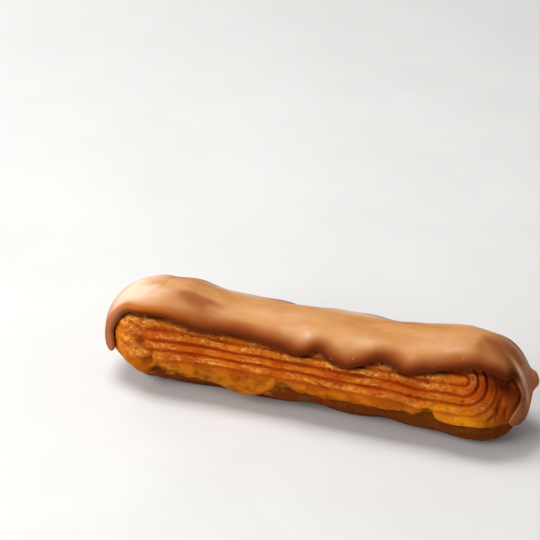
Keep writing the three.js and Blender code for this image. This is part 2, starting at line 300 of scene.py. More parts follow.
# Depths and heights of the crust's relief
CRACK_DEPTH = 0.9
CRACK_END_LOSS = 0.6
PINHOLE_DEPTH = 0.45
BROW = (0.35, 4)  # how high it stands over the lip, and how far above it and how wide in degrees
CRUMBS = {"everywhere": 0.07, "crest": 0.10, "crumbly": 0.16, "flaky": 0.30}
FIBRES = {"everywhere": 0.10, "crest": 0.08}
PINHOLES = (2.3, 0.55, 0.45, 5)  # how far apart, how wide, the share of places with one, seed
# Noise is (strength, size, seed). What follows a rib has a size along it, across it and between the sides.
WANDER = ((0.35, (10, 6, 1), 1), (0.12, (2.5, 3, 1), 2))
DEPTH_CHANGE = (0.5, (7, 2.5, 1), 3)
STRANDS = (1, (6, 0.5, 1), 8)
LIP_WAVER = (2.2, 5, 4)
LIP_GRIT = (1.6, 2.2, 14)
CROOKED = (0.5, 1.6, 15)
CRUMBLY = (1.6, 7, 6)
BROKEN = (1.4, 9, 13)
GRIT = (1, 1.5, 7)
BLISTERS = (0.3, 5, 9)
BLISTER_GRIT = (0.14, 2, 10)
SWELLING = (0.3, 13, 11)
BOTTOM_GRIT = (1, 3, 16)
SMEAR_GRIT = (2, 3, 12)
# How crumbly or broken a place is where the noise is 0, before this is eased
CRUMBLY_MIDDLE = 0.45
BROKEN_MIDDLE = 0.6
CROOKED_TILT = 4  # cracks and hollows go crooked by so many degrees of tilt for each millimetre of lap
PATCH_CROOKED = (2, 6)  # and the edges of patches by so many millimetres and degrees
# Fades are (where they start, over how far)
UNDER_LIP = (0, 6)
GROOVES_END = (0, 5)
RIBS_WEAKEN_LEFT = (49, 8)
RIBS_LEFT_IN_PLACE = 0.2  # how deep the grooves still are where they have weakened
RIBS_END_LEFT = (69, 9)
RIBS_END_RIGHT = (64, 6)
CRESTS_END = (60, 8)
FIBRES_END = (62, 12)
RELIEF_ENDS = (48, 10)
RELIEF_GROWS = 12  # degrees above the base
# Broken flakes lie so far below the icing's edge in a strip so wide, though not near one lap at the right
BROKEN_AT = (1.3, 1.5)
UNBROKEN = (66, 7)
# At the left the gold of the sides reaches lower by so many degrees, which grow over so many above the base
LEFT_PART = (-15, 30)
GOLD_LOWER = (8, 20)
RAGGED = (6, 20)  # and there its lower end is more ragged, in degrees at the right and at the left
GOLD_ENDS = -2
# The paler band below the ribs: from so far below their top line, and down from a tilt
BAND_STARTS = (9.5, 4)
BAND_ENDS = (-10, 14)
# Crests are painted less golden and less crumbly towards the right, as painted shade on the end away from
# the light: by what share, from where, over how far
CREST_LOSS = (0.6, 8, 40)
CRUMBLY_LOSS = (0.3, 30, 20)
GROOVE_DARKEST = 1.3  # the depth from which a groove's painted shade is darkest
GROOVE_CURVE = 1.5
CONTACT_SHADOW_AT = (0.1, 1)  # how far below the icing's edge the painted shadow is darkest, and how wide
# How much of each is in the raised places and in the pits, which are painted dark as painted shade in them
RAISED = {"middle": 0.5, "grit": 1.2, "strands": 0.8}
PIT = {"hollows": 0.55, "cracks": 0.9, "pinholes": 0.9}
SMEAR = (70.4, -2)  # a smear of icing at the right
SMEAR_SIZE = (2.4, 4)  # how far out it is whole, and over how far it fades
# Cracks are (one end, the other end, how wide), with each end as (lap, tilt)
CRACKS = (
    ((-50.8, 5), (-51.2, -14), 0.55),
    ((3.5, 6), (10, -6), 0.5),
    ((8.5, 6), (14, 4), 0.45),
    ((66.4, 18), (65, 9), 0.8),
    ((65, 9), (63.8, -1), 0.9),
    ((63.8, -1), (61, -6), 0.5),
    ((67.5, 8), (66.5, -10), 0.45),
    ((-63.5, 6), (-58.5, -2), 0.4),
    ((112, 4), (118, -3), 0.5),
    ((149, -2), (156, -7), 0.5),
    ((215, 8), (213, -9), 0.6),
)
# Hollows are (lap, tilt, how wide, how deep). The spots below are alike, with how far up or how strong.
HOLLOWS = (
    (-57.0, 25, 4.2, 0.9),
    (-55.5, 12, 1.9, 1.4),
    (-55.0, 10, 0.9, 1.0),
    (-59.5, 6, 1.3, 0.6),
    (-52.4, -11, 1.7, 1.2),
    (-50.4, -24, 1.6, 1.0),
    (-46.5, -27, 1.8, 1.0),
    (-43.6, -27, 1.6, 0.9),
    (-40.5, -25, 1.2, 0.6),
    (-31.6, -21, 1.3, 0.9),
    (-27.2, -20, 1.2, 0.8),
    (-5.4, -12, 2.0, 0.9),
    (-4.2, -24, 3.0, 1.3),
    (36.2, 8, 0.8, 0.6),
    (38.8, 9, 0.8, 0.6),
    (37.2, 0, 0.9, 0.7),
    (39.2, 3, 0.7, 0.5),
    (41.2, 29, 0.7, 0.8),
    (53.5, 12, 0.8, 0.8),
    (44.5, 4, 0.9, 0.7),
    (42.5, -9, 2.2, 0.8),
    (33, -24, 5.0, 0.7),
    (126, -12, 3.4, 1.0),
    (131, -9, 1.4, 0.8),
    (178, 6, 2.2, 1.0),
    (206, 12, 2.8, 1.2),
    (207, 10, 1.1, 1.0),
)
# Where the base's edge stands clear of the floor
ARCHES = (
    (-32, -66, 6, 0.6),
    (1, -66, 7, 1.5),
    (25, -66, 6, 1.2),
    (117, -66, 7, 0.9),
    (143, -66, 8, 1.2),
    (196, -66, 6, 0.8),
)
LUMPS = (
    (-65.0, 24, 2.2, 0.7),
    (-62.6, 35, 2.0, 0.8),
    (-58.4, 41, 2.2, 0.8),
    (-53.0, 40, 2.4, 0.6),
    (-59.6, 15, 1.6, 0.5),
    (-52.0, 14, 1.8, 0.6),
    (-56.4, 2, 2.6, 0.6),
    (-47.0, -15, 3.4, 0.5),
    (-24.0, -28, 5.0, 0.6),
    (-15.0, -22, 4.5, 0.4),
    (48.5, -7, 5.0, 0.5),
    (58.0, -10, 4.5, 0.45),
    (69.0, -4, 2.6, 0.5),
    (68.2, 8, 2.0, 0.4),
    (104.0, -5, 5.0, 0.5),
    (140.0, -8, 4.0, 0.4),
)
# Where the crust is broken into flakes
FLAKY = (
    (-64, 26, 2.4, 0.8),
    (-61, 36, 2.4, 0.9),
    (-56, 42, 2.6, 0.9),
    (-51, 42, 2.4, 0.6),
    (-56, 4, 2.2, 0.6),
    (-61, 8, 2.0, 0.5),
    (-62, -8, 4.0, 0.2),
    (-47, -17, 4.0, 0.3),
    (24, 26, 2.6, 0.9),
    (46, 24, 3.0, 0.5),
    (62, 4, 3.0, 0.6),
    (68, 10, 2.0, 0.6),
    (209, 16, 3.0, 0.8),
)
# Patches of darker, olive brown and of reddish brown; the reddish ones are partly the crust's own colour and
# partly painted shade
OLIVE = (
    (-46.5, -26, 3.4, 0.9),
    (-40, -27, 2.6, 0.7),
    (-30.5, -21, 3.0, 0.9),
    (-26.0, -26, 2.4, 0.5),
    (-19, -16, 1.8, 0.6),
    (-5.0, -22, 4.4, 0.9),
    (-12, -30, 3.2, 0.5),
    (130, -12, 4.0, 0.7),
    (160, -18, 4.0, 0.6),
    (186, -20, 4.0, 0.6),
)
# Golden patches: partly the crust's golden bake, partly painted light where the icing shades the bun and on
# the left cap
GOLD = (
    (-66, 14, 5, 0.7),
    (-5, 28, 4, 0.5),
    (2, 27, 3, 0.6),
    (-62, -4, 5, 0.1),
    (-48, -8, 3, 0.4),
    (-54, 2, 2.4, 0.4),
    (42, -6, 5, 0.7),
    (52, -8, 7, 0.9),
    (106, -8, 6, 0.6),
    (205, -10, 6, 0.6),
)
# Painted shadow, darkest under the icing beside its run
SHADED = (
    (62, 37, 2.6, 0.5),
    (66, 31, 3.0, 0.8),
    (69.5, 25, 2.8, 0.9),
    (72.5, 16, 1.6, 0.6),
)
# Reddish brown: the crust's own colour in the crater and cracks, painted shade under the icing by the right
# run and on the right end
RED = (
    (-49, 38, 4, 0.7),
    (-46.5, 27, 3, 0.4),
    (63, 27, 4, 1.0),
    (67, 24, 3, 1.0),
    (70, 16, 2.4, 0.4),
    (67, 10, 4.5, 0.5),
    (60, 14, 3.4, 0.5),
    (66, -6, 4, 0.2),
    (-57, 24, 4.2, 0.6),
    (-55.5, 10, 2.2, 0.5),
    (-52.5, -8, 2.4, 0.6),
    (64.6, 14, 1.8, 0.8),
    (64.2, 4, 1.6, 0.7),
    (70, -2, 3.4, 0.5),
    (60, 22, 3.0, 0.5),
    (206, 12, 3.4, 0.7),
    (117, 0, 3.0, 0.5),
)


def add_ribs(crust):
    """The piped ribs: how deep the grooves between them are cut, and where their crests are."""
    along, way = side_of(crust.lap)
    below = below_top_line(along, crust.tilt)
    from_line = np.hypot(np.maximum(0, along - NEST_LAP) / NEST_STRETCH, below)
    track = np.stack([along, from_line, way * SIDES_APART], axis=-1)
    wander = sum(noise_at(track, *layer) for layer in WANDER)
    strength = 1 + noise_at(track, *DEPTH_CHANGE)
    cut = sum(deep * np.exp(-np.abs(from_line + wander - at) / wide) for at, deep, wide in GROOVES)
    crest = sum(hump(from_line + wander - at, wide) for at, wide in CRESTS)
    weakened = mix(1, RIBS_LEFT_IN_PLACE, fade_in(-along, *RIBS_WEAKEN_LEFT))
    left = weakened * fade_out(-along, *RIBS_END_LEFT)
    right = fade_out(along, *RIBS_END_RIGHT)
    crust.grooves = cut * strength * left * right * fade_out(crust.below_lip, *GROOVES_END)
    crust.crest = np.clip(crest, 0, 1) * fade_out(np.abs(along), *CRESTS_END) * (1 - crust.under)
    crust.from_line = from_line
    crust.strands = noise_at(track, *STRANDS)
    crust.on_side = fade_out(np.abs(along), *FIBRES_END)


def add_flakes(crust):
    """Crumbly crests, and flakes broken off along the icing and in a few places."""
    crust.crumbly = ease(CRUMBLY_MIDDLE + noise_at(crust.plain, *CRUMBLY)) * crust.crest
    crust.below_icing = (edge_tilt(crust.lap) - crust.tilt) * MM_PER_DEGREE
    at, wide = BROKEN_AT
    broken = hump(crust.below_icing - at, wide) * ease(BROKEN_MIDDLE + noise_at(crust.plain, *BROKEN))
    unbroken, reach = UNBROKEN
    crust.broken = broken * (1 - hump(lap_between(crust.lap, unbroken), reach))
    crust.flaky = spots_at(FLAKY, crust.lap, crust.tilt)
    crust.grit = rough_at(crust.plain, *GRIT)


def bun_crust(lap, tilt):
    """What the crust has at each place, as shares from 0 to 1, depths or noise."""
    crust = SimpleNamespace(lap=lap, tilt=tilt, plain=place_on(lap, tilt, 0))
    waver = noise_at(crust.plain, *LIP_WAVER) + rough_at(crust.plain, *LIP_GRIT)
    crust.below_lip = lip_tilt(lap) + waver - tilt
    crust.under = fade_in(crust.below_lip, *UNDER_LIP)
    add_ribs(crust)
    add_flakes(crust)
    crooked = crust.crooked = noise_at(crust.plain, *CROOKED)
    tilted = CROOKED_TILT * crooked
    crust.cracks = sum(crack_at(crack, lap + crooked, tilt + tilted) for crack in CRACKS)
    crust.hollows = spots_at(HOLLOWS, lap + crooked, tilt - tilted)
    crust.lumps = spots_at(LUMPS, lap - crooked, tilt + tilted)
    crust.pinholes = holes_at(crust.plain, *PINHOLES)
    return crust


def bun_relief(crust):
    """How far the surface stands out of the plain form."""
    high, above_lip = BROW
    brow = high * hump(crust.below_lip + above_lip, above_lip)
    crumbs = CRUMBS["everywhere"] + CRUMBS["crest"] * crust.crest + CRUMBS["crumbly"] * crust.crumbly
    crumbs = (crumbs + CRUMBS["flaky"] * np.maximum(crust.broken, crust.flaky)) * crust.grit
    fibres = (FIBRES["everywhere"] + FIBRES["crest"] * crust.crest) * crust.strands
    fibres = fibres * (1 - crust.under) * crust.on_side
    blisters = noise_at(crust.plain, *BLISTERS) + rough_at(crust.plain, *BLISTER_GRIT)
    swelling = noise_at(crust.plain, *SWELLING)
    out = brow + crust.lumps + crumbs + fibres + crust.under * blisters + swelling
    cut = crust.grooves + LIP_RECESS * crust.under + crust.hollows
    cut = cut + CRACK_DEPTH * np.minimum(crust.cracks, 1) + PINHOLE_DEPTH * crust.pinholes
    held = fade_in(crust.tilt, BASE_TILT, RELIEF_GROWS) * fade_out(crust.tilt, *RELIEF_ENDS)
    return (out - cut) * held - spots_at(ARCHES, crust.lap, crust.tilt)


def bun_masks(crust):
    """Where the finish changes, as shares from 0 to 1, with painted light and shade among them."""
    lap, tilt, x = crust.lap, crust.tilt, crust.plain[:, 0]
    leftwards = fade_out(x, *LEFT_PART)
    lower, over = GOLD_LOWER
    ragged = mix(*RAGGED, leftwards)
    below_gold = crust.below_lip - lower * leftwards * fade_in(tilt, BASE_TILT, over)
    below_gold = below_gold + ragged * rough_at(crust.plain, *BOTTOM_GRIT)
    from_smear = distance_to(SMEAR, lap, tilt) - rough_at(crust.plain, *SMEAR_GRIT)
    crest_loss, *crest_from = CREST_LOSS
    crumbly_loss, *crumbly_from = CRUMBLY_LOSS
    crumbly = crust.crumbly * (1 - crumbly_loss * fade_in(x, *crumbly_from)) + crust.broken + crust.flaky
    shadow_at, shadow_width = CONTACT_SHADOW_AT
    contact = hump(crust.below_icing - shadow_at, shadow_width) + spots_at(SHADED, lap, tilt)
    raised = RAISED["middle"] + RAISED["grit"] * crust.grit + RAISED["strands"] * crust.strands
    pit = PIT["hollows"] * crust.hollows + PIT["cracks"] * crust.cracks + PIT["pinholes"] * crust.pinholes
    patch_lap = lap + PATCH_CROOKED[0] * crust.crooked
    patch_tilt = tilt + PATCH_CROOKED[1] * crust.crooked
    return {
        "groove": np.clip(crust.grooves / GROOVE_DARKEST, 0, 1) ** GROOVE_CURVE,
        "under": fade_in(below_gold, GOLD_ENDS, UNDER_LIP[1] + ragged / 2),
        "band": fade_in(crust.from_line, *BAND_STARTS) * fade_out(tilt, *BAND_ENDS),
        "gold": spots_at(GOLD, lap, tilt),
        "contact": np.clip(contact, 0, 1),
        "crest": crust.crest * (1 - crest_loss * fade_in(x, *crest_from)),
        "crumbly": np.clip(crumbly, 0, 1),
        "raised": np.clip(raised, 0, 1),
        "pit": np.clip(pit, 0, 1),
        "olive": np.clip(spots_at(OLIVE, patch_lap, patch_tilt), 0, 1),
        "red": np.clip(spots_at(RED, patch_lap, patch_tilt), 0, 1),
        "smear": fade_out(from_smear, *SMEAR_SIZE),
    }


WELD = 0.002  # corners this close to each other are joined


def set_places(shape, places):
    for vertex, place in zip(shape.verts, ((places + HOME) * MM).tolist()):
        vertex.co = place


def set_masks(shape, masks):
    for name, values in masks.items():
        layer = shape.verts.layers.float.new(name)
        for vertex, value in zip(shape.verts, values.tolist()):
            vertex[layer] = value


def weld(shape):
    bmesh.ops.remove_doubles(shape, verts=shape.verts[:], dist=WELD * MM)
    bmesh.ops.dissolve_degenerate(shape, edges=shape.edges[:], dist=WELD * MM)
    bmesh.ops.recalc_face_normals(shape, faces=shape.faces[:])


def object_of(shape, name, material):
    mesh = bpy.data.meshes.new(name)
    shape.to_mesh(mesh)
    shape.free()
    mesh.materials.append(material)
    made = bpy.data.objects.new(name, mesh)
    bpy.context.scene.collection.objects.link(made)
    return made


def finish_piece(shape, name, material, node):
    piece = object_of(shape, name, material)
    piece.data.shade_smooth()
    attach(piece, "root")
    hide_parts(node)


def make_bun(material):
    shape = bmesh.new()
    bmesh.ops.create_grid(shape, x_segments=BUN_COLUMNS, y_segments=BUN_ROWS, size=1)
    column, row = np.meshgrid(np.arange(BUN_COLUMNS + 1), np.arange(BUN_ROWS + 1))
    lap = column.ravel() / BUN_COLUMNS * FULL_LAP - QUARTER_LAP
    row = row.ravel()
    first_covered = BUN_ROWS + 1 - len(COVERED_TILTS)
    shown_tilts = np.linspace(BASE_TILT, COVERED_TILTS[0], first_covered)
    tilt = np.concatenate([[BASE_TILT], shown_tilts, COVERED_TILTS[1:]])[row]
    crust = bun_crust(lap, tilt)
    places = place_on(lap, tilt, bun_relief(crust))
    under_spine = row == 0
    places[under_spine] = place_on(lap, np.full(len(lap), 90.0), 0)[under_spine] * (1, 1, 0)
    places[:, 2] += base_rise(places) * fade_out(tilt, BASE_TILT, BASE_RISE_FADE)
    set_places(shape, places)
    set_masks(shape, bun_masks(crust))
    weld(shape)
    finish_piece(shape, "choux_bun_crust", material, "choux_bun")


# The icing: how thick it is on top and at its rolled lower edge, the bead, and how that edge is made
ICING = 2.3
BEAD = 2.5
BEAD_MIDDLE = 1.3  # thickness at the lowest line of the rolled edge
BEAD_HEIGHT = 2.8
BEAD_RETURN = 0.9  # how far the edge rolls back up under itself
BEAD_FADE = 5
BEAD_WAVES = (0.3, 16, 5)  # how much thicker or thinner the edge gets, and how often round the bun
GAP = 0.3  # between the bun and the icing
# The near edges of the runs lean out as they go down: (lap, how wide, how far, lowest tilt, from how far up)
LEANS = ((73, 6.5, -12, -15, 25), (250, 5, 4.5, -14, 28))
# The knob near the right-hand tip, at its lap and tilt
KNOB = {"at": (85.2, 9), "wide": 2.9, "height": 2.0, "squareness": 4}
# Where the top is thicker or thinner: (x, y, how wide, by)
TOP_WAVES = (
    (-33, -3, 11, -0.4),
    (-4, -5, 12, 0.35),
    (12, 6, 11, -0.35),
    (33, -6, 10, 0.35),
    (58, -4, 8, -0.4),
    (-58, 2, 9, 0.3),
)
# Painted highlights on the icing, its sheen painted pale: (lap, tilt, how long, how tall, how strong)
HIGHLIGHT_PATCHES = (
    (-71, 34, 7, 4.5, 0.7),
    (-71, 53, 7, 5.0, 0.9),
    (-65, 70, 6, 4.6, 0.7),
    (-54, 79, 6, 4.0, 0.5),
    (-80, 60, 3, 3.0, 0.5),
    (-14, 78, 14, 4.0, 0.15),
    (-3, 61, 5, 3.0, 0.15),
    (0.8, 57, 2.0, 1.4, 0.5),
    (19, 61, 6, 2.2, 0.25),
    (40, 66, 8, 2.2, 0.12),
    (47, 63, 3, 0.9, 0.2),
    (38, 86, 10, 4.0, 0.2),
    (112, 62, 9, 4.0, 0.5),
    (150, 66, 12, 4.0, 0.5),
    (190, 62, 10, 4.0, 0.5),
    (226, 60, 8, 4.0, 0.5),
)
# Browner patches, laid out alike: partly the icing's own colour, partly painted shade on the right end,
# which faces away from the light
BROWN_PATCHES = (
    (-79, 44, 1.6, 5.0, 0.5),
    (-38, 76, 8, 4.6, 1.0),
    (-43, 80, 6, 4.0, 0.8),
    (-30, 54, 10, 2.5, 0.5),
    (14, 52, 3, 2.2, 0.4),
    (19, 76, 4, 4.0, 0.2),
    (60, 74, 8, 6.0, 0.8),
    (74, 66, 8, 7.0, 0.9),
    (79, 48, 6, 5.0, 1.0),
    (86, 60, 7, 8.0, 0.5),
    (130, 74, 6, 4.0, 0.6),
    (170, 70, 7, 4.0, 0.5),
    (208, 72, 6, 5.0, 0.5),
)
# On the runs: a painted highlight where the right one shines, and painted shade where both are darkest
SHINE_PATCHES = ((76.4, 32, 1.4, 4.6, 1.0), (77, 5, 1.0, 3.0, 0.5))
DARK_PATCHES = ((73.8, 3, 1.2, 3.8, 0.9), (71.5, -15, 4, 1.3, 0.7), (-72, -2, 6, 9, 0.5))
SIDE_COLUMNS = 290
END_COLUMNS = 165
INNER_ROWS = 8
CURL_ROWS = 4
ROLL_ROWS = 9
OUTER_ROWS = 56
# The lower edge is followed in small steps, to space the columns and to find how far each place is from it
END_STEPS = 3000
EDGE_STEP = 0.05
EDGE_OVERLAP = 15
TILTS_UP = 110
ALWAYS_RISING = 1e-6  # keeps the distances up a column from being equal
# The crease on top where the straight part meets a round end is smoothed this close to it, above this height
CREASE_REACH = 8
CREASE_FROM = 25
CREASE_ROUNDS = 14
# Noise of the icing's surface and of its finish, as (strength, size, seed)
UNEVENNESS = ((0.14, 9, 21), (0.05, 3.6, 22))
UNEVEN_FINISH = (1.5, 5, 23)
PATCHES_END = (77, 11)  # from this tilt, over how many degrees
AMBER_AT = (-62, 13)  # the lap where the edge is thin and shows amber, and how wide
AMBER_LINE = (2.1, 1.1)  # how far from the edge, and how wide
AMBER_NARROWS = 1.2  # how much closer to the edge its dark line ends there
EDGE_UNEVEN = 0.25
AMBER_UNEVEN = 0.2
LEFT_END = (50, 10)  # from how far left, and over how far
HIGHLIGHT_END = (0.45, 14, 48, 16)  # the painted highlight at the left end: how strong, over how far left, and from which tilt over how many degrees
# The runs' own colour is full below the first tilt, and ends so many degrees above it
RIGHT_RUN = (20, 14)
LEFT_RUN = (0, 56)


def run_at(run, lap):
    start, end, softness = run[0], run[1], run[3]
    return rise(lap_between(lap, start), softness) * rise(lap_between(end, lap), softness)


def edge_tilt(lap):
    """The tilt of the icing's lower edge."""
    return EDGE_TILT + waves_at(EDGE_WAVES, lap) + sum(run[2] * run_at(run, lap) for run in END_RUNS)


def icing_laps():
    """The laps of the icing's columns, even along the sides and along the lower edge round the ends."""
    laps = [-HALF_SPINE]
    for half in (0, 1):
        middle = half * FULL_LAP / 2
        laps.extend(np.linspace(middle - HALF_SPINE, middle + HALF_SPINE, SIDE_COLUMNS + 1)[1:])
        end = np.linspace(middle + HALF_SPINE, middle + 2 * QUARTER_LAP - HALF_SPINE, END_STEPS)
        steps = np.hypot(np.diff(end), np.diff(edge_tilt(end)) * MM_PER_DEGREE)
        walked = np.concatenate([[0], np.cumsum(steps)])
        laps.extend(np.interp(np.linspace(0, walked[-1], END_COLUMNS + 1)[1:], walked, end))
    return np.array(laps)


def distances_up(laps):
    """For each column, tilts from the edge to the top and how far each of them is from the nearest edge."""
    along = np.arange(-HALF_SPINE - EDGE_OVERLAP, FULL_LAP - HALF_SPINE + EDGE_OVERLAP, EDGE_STEP)
    edge = kdtree.KDTree(len(along))
    for index, place in enumerate(zip(along.tolist(), (edge_tilt(along) * MM_PER_DEGREE).tolist())):
        edge.insert((*place, 0), index)
    edge.balance()
    tilts = np.linspace(edge_tilt(laps), 90, TILTS_UP, axis=1)
    away = np.array([
        [edge.find((lap, tilt, 0))[2] for tilt in column]
        for lap, column in zip(laps.tolist(), (tilts * MM_PER_DEGREE).tolist())
    ])
    away[:, 0] = 0
    return tilts, np.maximum.accumulate(away, axis=1)


def icing_thickness(lap, tilt, from_edge):
    """Thickness past the rolled edge."""
    turns = lap / FULL_LAP * math.tau
    wave, often, less_often = BEAD_WAVES
    bead = BEAD + wave * np.sin(often * turns) * np.sin(less_often * turns)
    plain = mix(bead, ICING, fade_in(from_edge, BEAD_HEIGHT, BEAD_FADE))
    x, y, _ = place_on(lap, tilt, 0).T
    waves = sum(by * hump(np.hypot(x - at_x, y - at_y), wide) for at_x, at_y, wide, by in TOP_WAVES)
    thinner = sum(run[4] * run_at(run, lap) for run in END_RUNS)
    return plain + waves - thinner * fade_out(tilt, EDGE_TILT, 90 - EDGE_TILT)


def icing_sections(laps):
    """The tilt, thickness and distance from the edge of each row, for each column."""
    curl = np.radians(np.linspace(-90, 0, CURL_ROWS + 1))
    roll = np.radians(np.linspace(0, 90, ROLL_ROWS + 1))[1:]
    sections = []
    for lap, tilts, away in zip(laps, *distances_up(laps)):
        up = away + np.linspace(0, ALWAYS_RISING, len(away))
        curl_tilts = np.interp(BEAD_RETURN * (1 - np.cos(curl)), up, tilts)
        roll_tilts = np.interp(BEAD_HEIGHT * (1 - np.cos(roll)), up, tilts)
        inner_tilts = np.linspace(90, curl_tilts[0], INNER_ROWS + 1)[:-1]
        outer_tilts = np.linspace(roll_tilts[-1], 90, OUTER_ROWS + 1)[1:]
        tilt = np.concatenate([inner_tilts, curl_tilts, roll_tilts, outer_tilts])
        from_edge = np.interp(tilt, tilts, away)
        full = icing_thickness(np.full_like(tilt, lap), tilt, from_edge)
        rolled = [
            np.zeros(INNER_ROWS),
            BEAD_MIDDLE * (1 + np.sin(curl)),
            mix(BEAD_MIDDLE, full[INNER_ROWS + CURL_ROWS + 1:-OUTER_ROWS], np.sin(roll)),
            full[-OUTER_ROWS:],
        ]
        sections.append((tilt, np.concatenate(rolled), from_edge))
    return np.array(sections).transpose(1, 2, 0).reshape(3, -1)


def patches_at(patches, lap, tilt):
    """Patches that fade from their middles. They end before the top line, where the two sides meet."""
    strengths = [
        by * hump(np.hypot(lap_between(lap, at) / long, (tilt - up) * MM_PER_DEGREE / tall), 1)
        for at, up, long, tall, by in patches
    ]
    return np.clip(sum(strengths), 0, 1) * fade_out(tilt, *PATCHES_END)


def icing_masks(lap, tilt, plain, from_edge):
    """Distances from the edge, and where the finish changes, with painted highlights and shade among them.
    At the left it is amber and the end has a painted highlight.
    """
    x = plain[:, 0]
    uneven = noise_at(plain, *UNEVEN_FINISH)
    at_amber = hump(lap_between(lap, AMBER_AT[0]), AMBER_AT[1])
    line, wide = AMBER_LINE
    pale, reach, *from_tilt = HIGHLIGHT_END
    highlight_end = pale * fade_in(2 * uneven - x, LEFT_END[0], reach) * fade_in(tilt, *from_tilt)
    highlight_patches = patches_at(HIGHLIGHT_PATCHES, lap + uneven, tilt + 3 * uneven)
    return {
        "from_edge": from_edge * (1 + AMBER_NARROWS * at_amber) + EDGE_UNEVEN * uneven,
        "amber": hump(from_edge - line - AMBER_UNEVEN * uneven, wide) * at_amber,
        "pale": np.clip(highlight_patches + highlight_end, 0, 1),
        "brown": patches_at(BROWN_PATCHES, lap + 2 * uneven, tilt - 4 * uneven),
        "shine": patches_at(SHINE_PATCHES, lap, tilt),
        "dark": patches_at(DARK_PATCHES, lap + 0.4 * uneven, tilt),
        "run": mix(fade_out(tilt, *RIGHT_RUN), fade_out(tilt, *LEFT_RUN), fade_in(-x, *LEFT_END)),
    }


def smooth_crease(shape):
    crease = [
        vertex for vertex in shape.verts
        if abs(abs(vertex.co.x) - HALF_SPINE * MM) < CREASE_REACH * MM and vertex.co.z > CREASE_FROM * MM
    ]
    all_ways = {"use_axis_x": True, "use_axis_y": True, "use_axis_z": True}
    for _ in range(CREASE_ROUNDS):
        bmesh.ops.smooth_vert(shape, verts=crease, factor=0.5, **all_ways)


def make_icing(material):
    laps = icing_laps()
    rows = INNER_ROWS + CURL_ROWS + ROLL_ROWS + OUTER_ROWS
    shape = bmesh.new()
    bmesh.ops.create_grid(shape, x_segments=len(laps) - 1, y_segments=rows, size=1)
    lap = np.tile(laps, rows + 1)
    tilt, thickness, from_edge = icing_sections(laps)
    lap = lap + sum(
        by * hump(lap_between(lap, at), wide) * fade_out(tilt, lowest, above)
        for at, wide, by, lowest, above in LEANS
    )
    plain = place_on(lap, tilt, 0)
    outside = ease(thickness / BEAD_MIDDLE)
    from_knob = distance_to(KNOB["at"], lap, tilt) / KNOB["wide"]
    knob = KNOB["height"] * np.exp(-(from_knob ** KNOB["squareness"]))
    unevenness = sum(noise_at(plain, *layer) for layer in UNEVENNESS)
    set_places(shape, place_on(lap, tilt, GAP + thickness + outside * (knob + unevenness)))
    set_masks(shape, icing_masks(lap, tilt, plain, from_edge))
    weld(shape)
    smooth_crease(shape)
    finish_piece(shape, "coffee_icing_coat", material, "coffee_icing")


# The finishes. Colours are written as the eye sees them, from 0 to 255.
def colour(red, green, blue):
    values = np.array([red, green, blue]) / 255
    linear = np.where(values <= 0.04045, values / 12.92, ((values + 0.055) / 1.055) ** 2.4)
    return (*linear.tolist(), 1)


class Nodes:
    """Adds nodes to a material or a group. An input is given as a value or as another node's output."""

    def __init__(self, tree):
        self.tree = tree

    def add(self, kind, inputs=None, **settings):
        made = self.tree.nodes.new("ShaderNode" + kind)
        for name, value in settings.items():
            setattr(made, name, value)
        self.fill(made, inputs or {})
        return made

    def fill(self, node, inputs):
        for name, value in inputs.items():
            self.feed(node.inputs[name], value)

    def feed(self, socket, value):
        if isinstance(value, bpy.types.NodeSocket):
            self.tree.links.new(value, socket)
        else:
            socket.default_value = value

    def sum(self, operation, *values):
        made = self.add("Math", operation=operation)
        for socket, value in zip(made.inputs, values):
            self.feed(socket, value)
        return made.outputs[0]

    def mix(self, share, low, high, way="MIX"):
        made = self.add("Mix", data_type="RGBA", blend_type=way)
        for socket, value in zip((made.inputs[0], made.inputs[6], made.inputs[7]), (share, low, high)):
            self.feed(socket, value)
        return made.outputs[2]

    def ramp(self, value, start, end, low=0.0, high=1.0):
        steps = {"Value": value, "From Min": start, "From Max": end, "To Min": low, "To Max": high}
        return self.add("MapRange", steps, interpolation_type="SMOOTHSTEP").outputs[0]

    def between(self, share, low, high):
        """A colour between two, given from 0 to 255."""
        return self.mix(share, colour(*low), colour(*high))

    def lay_over(self, tone, layers):
        """Lays colours over the tone in order. Each layer is (where, how strongly, colour)."""
        for where, strongly, over in layers:
            tone = self.mix(self.sum("MULTIPLY", where, strongly), tone, over)
        return tone

    def masks(self, names):
        """What set_masks gave a piece, by name."""
        made = {name: self.add("Attribute", attribute_name=name).outputs["Fac"] for name in names}
        return SimpleNamespace(**made)

    def mottles(self, tree, table):
        """Soft patches by name, from a table of (size, stretch, from, to)."""
        inputs = ("Size", "Stretch", "From", "To")
        made = {name: self.group(tree, dict(zip(inputs, sizes)))["Mask"] for name, sizes in table.items()}
        return SimpleNamespace(**made)

    def group(self, tree, inputs):
        return self.add("Group", inputs, node_tree=tree).outputs

    def bump(self, height, settings):
        return self.add("Bump", {"Height": height, **settings}).outputs[0]


def new_group(name, inputs, outputs):
    tree = bpy.data.node_groups.new(name, "ShaderNodeTree")
    for title, value in inputs.items():
        socket = tree.interface.new_socket(title, in_out="INPUT", socket_type="NodeSocketFloat")
        socket.default_value = value
    for title in outputs:
        tree.interface.new_socket(title, in_out="OUTPUT", socket_type="NodeSocketFloat")
    nodes = Nodes(tree)
    entry = tree.nodes.new("NodeGroupInput").outputs
    leave = tree.nodes.new("NodeGroupOutput").inputs
    return tree, nodes, entry, leave


